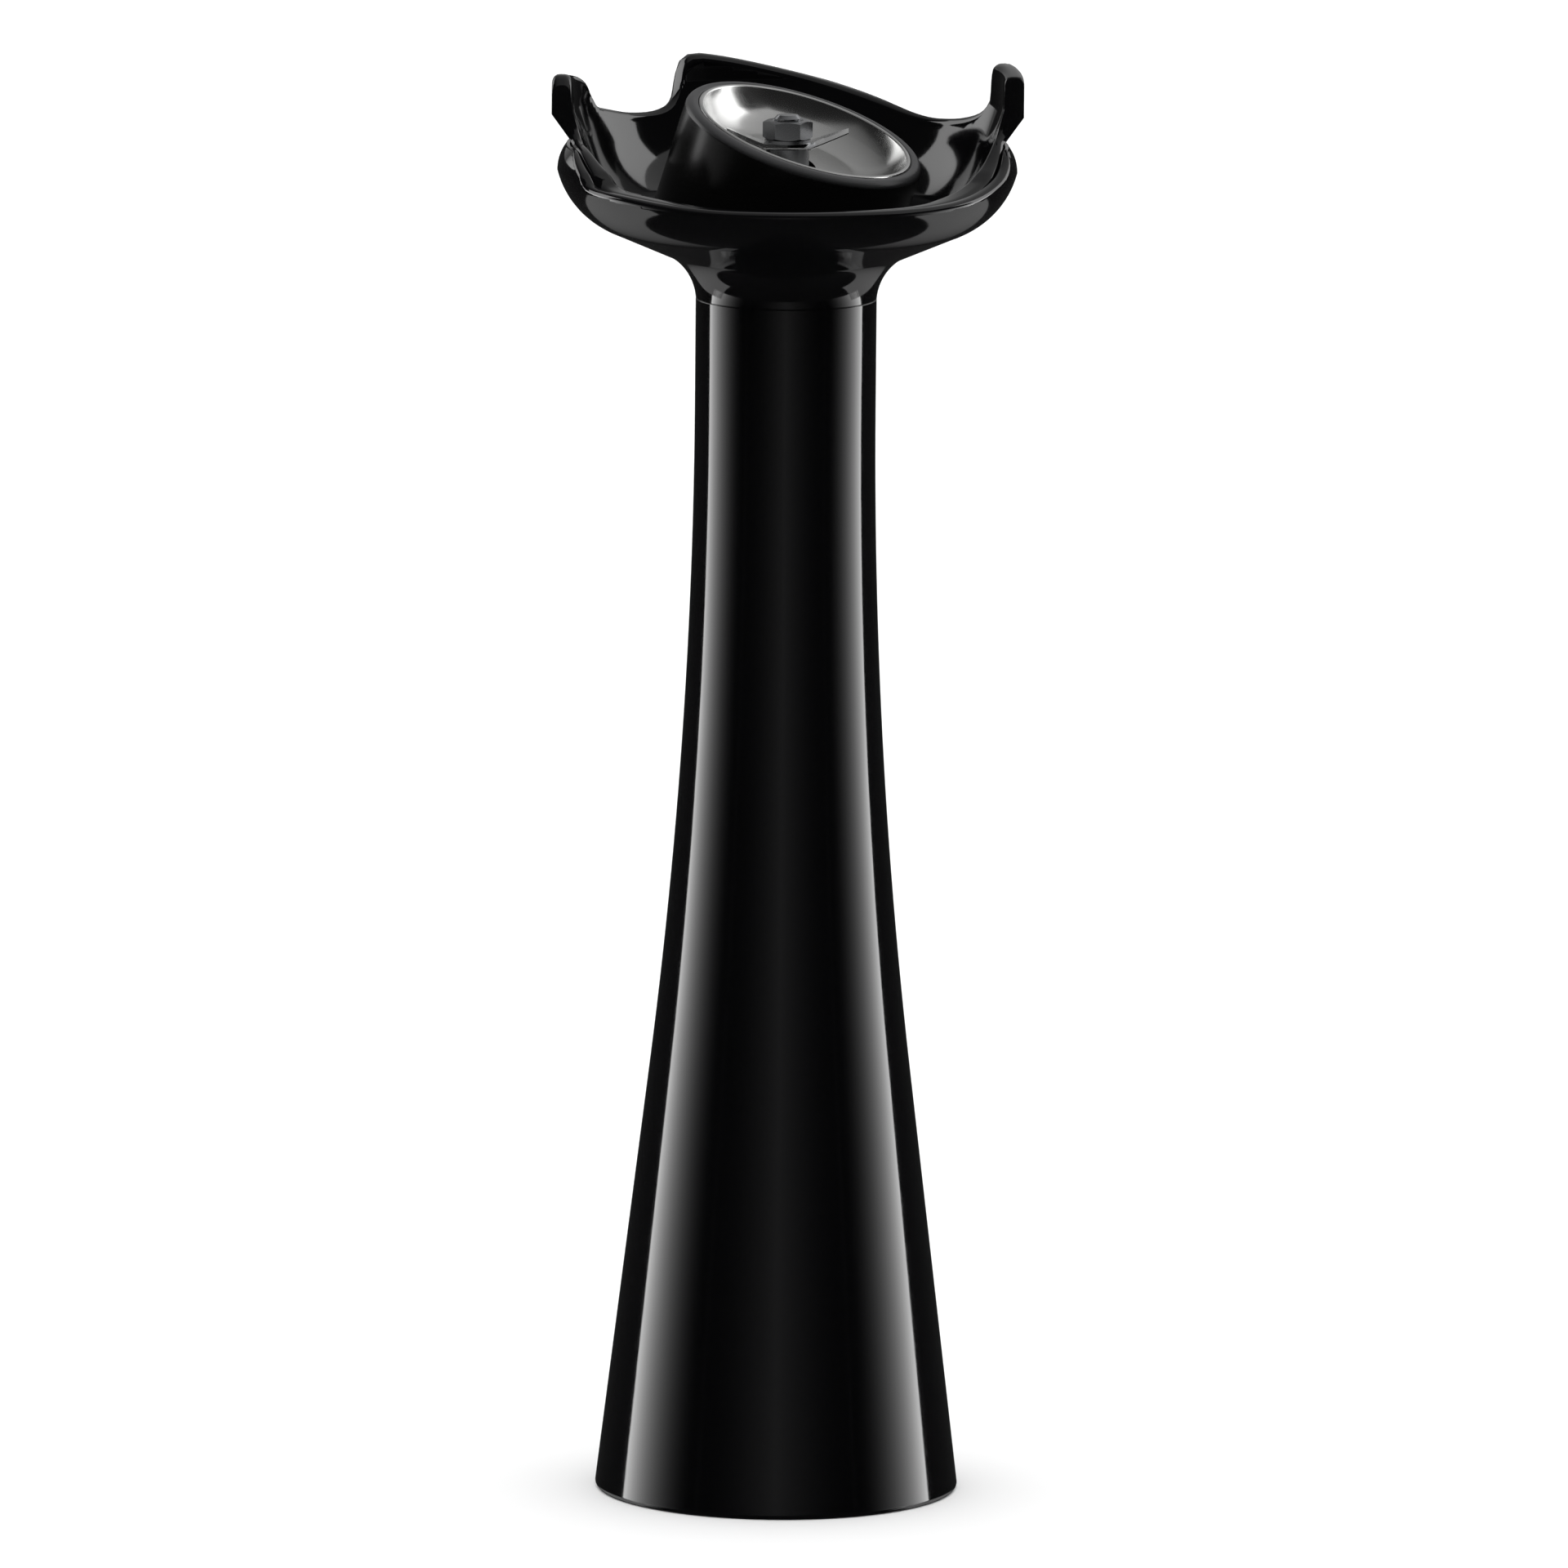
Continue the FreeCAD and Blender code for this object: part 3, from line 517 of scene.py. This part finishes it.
def well_collar():
    """Collar wall from the dish's edge over its bevelled lip and down to the guard's floor."""
    top = section([
        (seat[0] + 0.02, seat[1] - 0.02),
        (DISH_RADIUS + 0.02, -0.25, -0.3),
        (DISH_RADIUS + 0.25, 0),
        (WELL_RADIUS - WELL_BEVEL - 0.3, 0, -0.9),
        (WELL_RADIUS - WELL_BEVEL * 0.5, -0.28, -1.4),
        (WELL_RADIUS, -WELL_BEVEL - 0.2),
    ], 2.0)
    columns = []
    for step in range(160):
        angle = 2 * math.pi * step / 160
        side = well_turn @ Vector((math.cos(angle), math.sin(angle), 0))
        foot = (COLLAR_FOOT - WELL_CENTRE.z - side.z * WELL_RADIUS) / WELL_AXIS.z
        inner_foot = (COLLAR_FOOT - WELL_CENTRE.z - side.z * seat[0]) / WELL_AXIS.z
        path = top + [(WELL_RADIUS, foot), (seat[0] + 0.02, min(inner_foot, seat[1] - 0.5))]
        columns.append([(r * math.cos(angle), r * math.sin(angle), s) for r, s in path])
    solid("well_collar_skin", columns, True, WELL_PLACE, COLLAR_PLASTIC, "arm",
          ["well_collar"], 35)


well_collar()


def dish():
    """Pressed steel dish: bright rounded edge, steep wall, hollow bottom, hole for the hub."""
    path = section([
        (DISH_FLOOR_RADIUS, seat_low, DISH_HOLLOW + DISH_SHEET),
        seat,
        (DISH_RADIUS, -0.2, 0.4),
        (DISH_RADIUS - DISH_SHEET / 2, 0.1, 0.4),
        (DISH_RADIUS - DISH_SHEET, -0.2),
        (*DISH_BOWL, -DISH_HOLLOW),
        (DISH_FLOOR_RADIUS, -DISH_DEPTH),
    ], 2.0)
    upright = well_turn.inverted() @ Vector((0, 0, 1))
    through = well_turn.inverted() @ Vector((-WELL_CENTRE.x, 0, 0))
    columns = []
    for step in range(192):
        angle = 2 * math.pi * step / 192
        ring = [(r * math.cos(angle), r * math.sin(angle), s) for r, s in path]
        hole = []
        for level in (-DISH_DEPTH, seat_low):
            centre = through + upright * ((level - through.z) / upright.z)
            hole.append((centre.x + DISH_BORE * math.cos(angle),
                         centre.y + DISH_BORE * math.sin(angle), level))
        columns.append(ring + hole)
    solid("steel_dish_skin", columns, True, WELL_PLACE, DISH_STEEL, "arm",
          ["steel_dish"], 35)


dish()

# ---- blade and nut, the blade set on the washer's height -------------------------------------

blade_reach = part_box("blade")[1].x / MM
nut_low, nut_high = (corner.copy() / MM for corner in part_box("blade_nut"))
BLADE_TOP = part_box("blade_washer")[0].z / MM
BLADE_ROOT, BLADE_SHEET, BLADE_RISE = 3.4, 0.8, 2.1


def blade():
    """Two-winged blade: flat middle, wings bent up, ground leading edges."""
    columns = []
    for step in range(-36, 37):
        x = blade_reach * step / 36
        out = max(0.0, abs(x) - BLADE_ROOT) / (blade_reach - BLADE_ROOT)
        width = 2.9 - 2.1 * out ** 1.4
        top = BLADE_TOP + BLADE_RISE * out
        bottom = top - BLADE_SHEET
        ground = width * 0.5
        lead = -1 if x > 0 else 1
        columns.append([
            (x, -width, bottom + 0.12), (x, -width + 0.25, bottom), (x, width - 0.25, bottom),
            (x, width, bottom + 0.12), (x, width, top - 0.5),
            (x, width - (ground if lead > 0 else 0.2), top), (x, 0, top),
            (x, -width + (ground if lead < 0 else 0.2), top), (x, -width, top - 0.5)])
    solid("blade_skin", columns, False, UPRIGHT, BLADE_STEEL, "rotor",
          ["blade"], 22, capped=True)


blade()


def hex_nut():
    """Hexagon nut with its corners chamfered by a cone at both faces."""
    flats = (nut_high.y - nut_low.y) / 2
    columns = []
    for step in range(120):
        angle = 2 * math.pi * step / 120
        turned_by = (angle + math.pi / 2 + math.pi / 6) % (math.pi / 3) - math.pi / 6
        reach = flats / math.cos(turned_by)
        slack = (reach - flats * 0.96) * 0.5
        path = [(2.02, nut_low.z), (flats * 0.96, nut_low.z), (reach, nut_low.z + slack),
                (reach, nut_high.z - slack), (flats * 0.96, nut_high.z), (2.3, nut_high.z),
                (2.02, nut_high.z - 0.25)]
        columns.append([(r * math.cos(angle), r * math.sin(angle), z) for r, z in path])
    solid("blade_nut_skin", columns, True, UPRIGHT, NUT_STEEL, "rotor",
          ["blade_nut"], 18)


hex_nut()

# ---- plate screws: three alike on a circle, made by Geometry Nodes -----------------------------

def geometry_tree(name, sizes):
    """Node group with a named float input for each size."""
    tree = bpy.data.node_groups.new(name, "GeometryNodeTree")
    tree.is_modifier = True
    tree.interface.new_socket("Geometry", in_out="OUTPUT", socket_type="NodeSocketGeometry")
    tree.interface.new_socket("Geometry", in_out="INPUT", socket_type="NodeSocketGeometry")
    for label in sizes:
        tree.interface.new_socket(label, in_out="INPUT", socket_type="NodeSocketFloat")
    return tree


def grown(name, tree, sizes, finish, body, replaced):
    """Runs a node group once and keeps its result as a plain mesh."""
    seed = bpy.data.objects.new(name + "_seed", bpy.data.meshes.new(name + "_seed"))
    scene.collection.objects.link(seed)
    modifier = seed.modifiers.new(name, "NODES")
    modifier.node_group = tree
    for item in tree.interface.items_tree:
        if item.in_out == "INPUT" and item.name in sizes:
            modifier[item.identifier] = sizes[item.name] * MM
    bpy.context.view_layer.update()
    result = seed.evaluated_get(bpy.context.evaluated_depsgraph_get())
    data = bpy.data.meshes.new_from_object(result)
    seed.modifiers.remove(modifier)
    bpy.data.objects.remove(seed)
    data.name = name
    shown(name, data, finish, body, replaced)


def plate_screws():
    """Socket-head screws through the bearing plate."""
    foot, top = (corner.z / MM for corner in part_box("plate_screws"))
    sizes = {"Circle Radius": 14.5, "Head Radius": 2.3, "Head Height": 1.6,
             "Shank Radius": 1.25, "Shank Length": top - foot - 0.85, "Socket Radius": 0.875,
             "Socket Depth": 0.8, "Foot Height": foot}
    tree = geometry_tree("plate_screws_by_rule", sizes)
    given = add(tree, "NodeGroupInput")

    def barrel(radius, depth, sides=48):
        """Upright cylinder standing on the origin."""
        rod = add(tree, "GeometryNodeMeshCylinder", Vertices=sides, Radius=(given, radius),
                  Depth=(given, depth))
        half = add(tree, "ShaderNodeMath", {"operation": "MULTIPLY"}, _0=(given, depth), _1=0.5)
        lift = add(tree, "ShaderNodeCombineXYZ", Z=(half, 0))
        return add(tree, "GeometryNodeTransform", Geometry=(rod, "Mesh"),
                   Translation=(lift, 0))

    shank = barrel("Shank Radius", "Shank Length")
    head = barrel("Head Radius", "Head Height")
    socket = barrel("Socket Radius", "Socket Depth", 6)
    head_foot = add(tree, "ShaderNodeMath", {"operation": "SUBTRACT"},
                    _0=(given, "Shank Length"), _1=(given, "Socket Depth"))
    head_lift = add(tree, "ShaderNodeCombineXYZ", Z=(head_foot, 0))
    placed_head = add(tree, "GeometryNodeTransform", Geometry=(head, 0),
                      Translation=(head_lift, 0))
    above = add(tree, "ShaderNodeCombineXYZ", Z=(given, "Shank Length"))
    placed_socket = add(tree, "GeometryNodeTransform", Geometry=(socket, 0),
                        Translation=(above, 0))
    whole = add(tree, "GeometryNodeMeshBoolean", {"operation": "UNION"})
    tree.links.new(shank.outputs[0], whole.inputs["Mesh 2"])
    tree.links.new(placed_head.outputs[0], whole.inputs["Mesh 2"])
    screw = add(tree, "GeometryNodeMeshBoolean", {"operation": "DIFFERENCE"},
                Mesh_1=(whole, 0), Mesh_2=(placed_socket, 0))
    spots = add(tree, "GeometryNodeMeshCircle", Vertices=3, Radius=(given, "Circle Radius"))
    stand = add(tree, "ShaderNodeCombineXYZ", Z=(given, "Foot Height"))
    turned_spots = add(tree, "GeometryNodeTransform", Geometry=(spots, 0),
                       Translation=(stand, 0), Rotation=(0, 0, math.radians(30)))
    copies = add(tree, "GeometryNodeInstanceOnPoints", Points=(turned_spots, 0),
                 Instance=(screw, 0))
    real = add(tree, "GeometryNodeRealizeInstances", Geometry=(copies, 0))
    coloured = add(tree, "GeometryNodeSetMaterial", Geometry=(real, 0), Material=NUT_STEEL)
    add(tree, "NodeGroupOutput", Geometry=(coloured, 0))
    grown("plate_screws_skin", tree, sizes, NUT_STEEL, "arm", ["plate_screws"])


plate_screws()

# ---- finishes of the carried-over pieces -------------------------------------------------------

FINISHES = {
    "drive_shaft": NUT_STEEL, "coupling_pin": NUT_STEEL, "blade_hub": NUT_STEEL,
    "blade_washer": NUT_STEEL, "seal_washer": NUT_STEEL, "lower_thrust_washer": NUT_STEEL,
    "upper_thrust_washer": NUT_STEEL, "retaining_clip": NUT_STEEL, "shaft_tube": NUT_STEEL,
    "upper_bush": BRONZE, "lower_bush": BRONZE,
    "shaft_seal": SEAL, "collar_gasket": SEAL, "neck_oring": SEAL, "splash_seal": SEAL,
    "bearing_carrier": INNER_NYLON, "hub_ring_nut": INNER_NYLON, "mid_guide": INNER_NYLON,
    "bearing_plate": INNER_NYLON, "coupling_collar": SOCKET_PLASTIC,
    "drive_coupling": NATURAL_NYLON,
}
for node, finish in FINISHES.items():
    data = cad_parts[node].data
    data.materials.clear()
    data.materials.append(finish)

# ---- floor, lights and camera ------------------------------------------------------------------

def glow(name, strength_top, fade):
    """Light card whose glow fades along its own width, read from the UV map."""
    made = bpy.data.materials.new(name)
    made.use_nodes = True
    tree = made.node_tree
    tree.nodes.clear()
    place = add(tree, "ShaderNodeTexCoord")
    split = add(tree, "ShaderNodeSeparateXYZ", Vector=(place, "UV"))
    ramp = add(tree, "ShaderNodeMath", {"operation": "POWER"}, _0=(split, 0), _1=fade)
    level = add(tree, "ShaderNodeMath", {"operation": "MULTIPLY"}, _0=(ramp, 0), _1=strength_top)
    emit = add(tree, "ShaderNodeEmission", Color=(1, 1, 1, 1), Strength=(level, 0))
    add(tree, "ShaderNodeOutputMaterial", Surface=(emit, "Emission"))
    return made


def staged_light(name, corners, faces, shares, strength, fade):
    """Makes a glowing sheet that only reflections show; each corner has its share of light."""
    data = bpy.data.meshes.new(name)
    data.from_pydata(corners, [], faces)
    layer = data.uv_layers.new(name="UVMap")
    for loop in data.loops:
        layer.data[loop.index].uv = (shares[loop.vertex_index], 0.5)
    data.materials.append(glow(name + "_glow", strength, fade))
    sheet = bpy.data.objects.new(name, data)
    scene.collection.objects.link(sheet)
    sheet.visible_camera = False
    sheet.visible_shadow = False
    sheet.visible_diffuse = False


def card(name, start, end, low, high, radius, strength, fade=2.2):
    """Part of an upright cylinder around the object, brightest at its end azimuth.
    Azimuth 0 is towards the camera, positive towards +X."""
    count = 24
    corners, faces, shares = [], [], []
    for step in range(count + 1):
        share = step / count
        angle = math.radians(start + (end - start) * share)
        x, y = radius * math.sin(angle), -radius * math.cos(angle)
        corners += [(x, y, low), (x, y, high)]
        shares += [share, share]
    for step in range(count):
        a = 2 * step
        faces.append((a, a + 2, a + 3, a + 1))
    staged_light(name, corners, faces, shares, strength, fade)


def panel(name, centre, half, strength, fade=0.6):
    """Level square light above the object, brightest towards +X."""
    x, y, z = centre
    corners = [(x - half, y - half, z), (x + half, y - half, z), (x + half, y + half, z),
               (x - half, y + half, z)]
    staged_light(name, corners, [(3, 2, 1, 0)], [0.0, 1.0, 1.0, 0.0], strength, fade)


for side in (1, -1):
    tag = "right" if side > 0 else "left"
    card("softbox_" + tag, side * 52, side * 113, -0.5, 0.24, 1.0, 6.5, 2.8)
    card("low_card_" + tag, side * 170, side * 95, -0.95, -0.27, 1.0, 1.1, 0.8)
    card("front_card_" + tag, side * 50, 0, -0.5, 0.24, 1.0, 0.18)
    card("rear_card_" + tag, side * 150, side * 100, 0.25, 0.9, 1.0, 3.0, 0.5)
card("dish_card", 215, 130, 0.25, 1.3, 1.1, 0.55, 0.4)
panel("top_card", (0.4, 0.65, 1.5), 1.5, 0.62)

pale = material("pale_floor", Base_Color=linear("#f4f4f4"), Roughness=0.8)[0]
ground = bpy.data.meshes.new("floor")
ground.from_pydata([(-3, -3, 0), (3, -3, 0), (3, 3, 0), (-3, 3, 0)], [], [(0, 1, 2, 3)])
ground.materials.append(pale)
floor = bpy.data.objects.new("floor", ground)
scene.collection.objects.link(floor)
floor.visible_glossy = False

world = bpy.data.worlds.new("studio")
scene.world = world
world.use_nodes = True
world.node_tree.nodes.clear()
path = add(world.node_tree, "ShaderNodeLightPath")
white = add(world.node_tree, "ShaderNodeBackground", Color=(1, 1, 1, 1), Strength=1.0)
dark = add(world.node_tree, "ShaderNodeBackground", Color=(1, 1, 1, 1), Strength=0.02)
mixed = add(world.node_tree, "ShaderNodeMixShader", Fac=(path, "Is Camera Ray"),
            _1=(dark, 0), _2=(white, 0))
add(world.node_tree, "ShaderNodeOutputWorld", Surface=(mixed, 0))

lamp = bpy.data.lights.new("overhead", "SUN")
lamp.energy = 4.2
lamp.angle = math.radians(120)
overhead = bpy.data.objects.new("overhead", lamp)
overhead.location = (0, 0, 2)
overhead.visible_glossy = False
scene.collection.objects.link(overhead)

ELEVATION, DISTANCE, ROLL = math.radians(9.3), 3.0, math.radians(0.5)
VIEW_WIDTH = 0.2329
SENSOR_WIDTH = 36
camera = bpy.data.cameras.new("camera")
camera.sensor_width = SENSOR_WIDTH
camera.lens = SENSOR_WIDTH * DISTANCE / VIEW_WIDTH
camera.clip_end = 20
eye = bpy.data.objects.new("camera", camera)
scene.collection.objects.link(eye)
target = Vector((0.0003, 0, 0.1061))
back = Vector((0, -math.cos(ELEVATION), math.sin(ELEVATION)))
aim = (-back).to_track_quat("-Z", "Y").to_matrix().to_4x4()
stand = Matrix.Translation(target + back * DISTANCE)
eye.matrix_world = stand @ aim @ Matrix.Rotation(ROLL, 4, "Z")
scene.camera = eye
scene.view_settings.view_transform = "Standard"
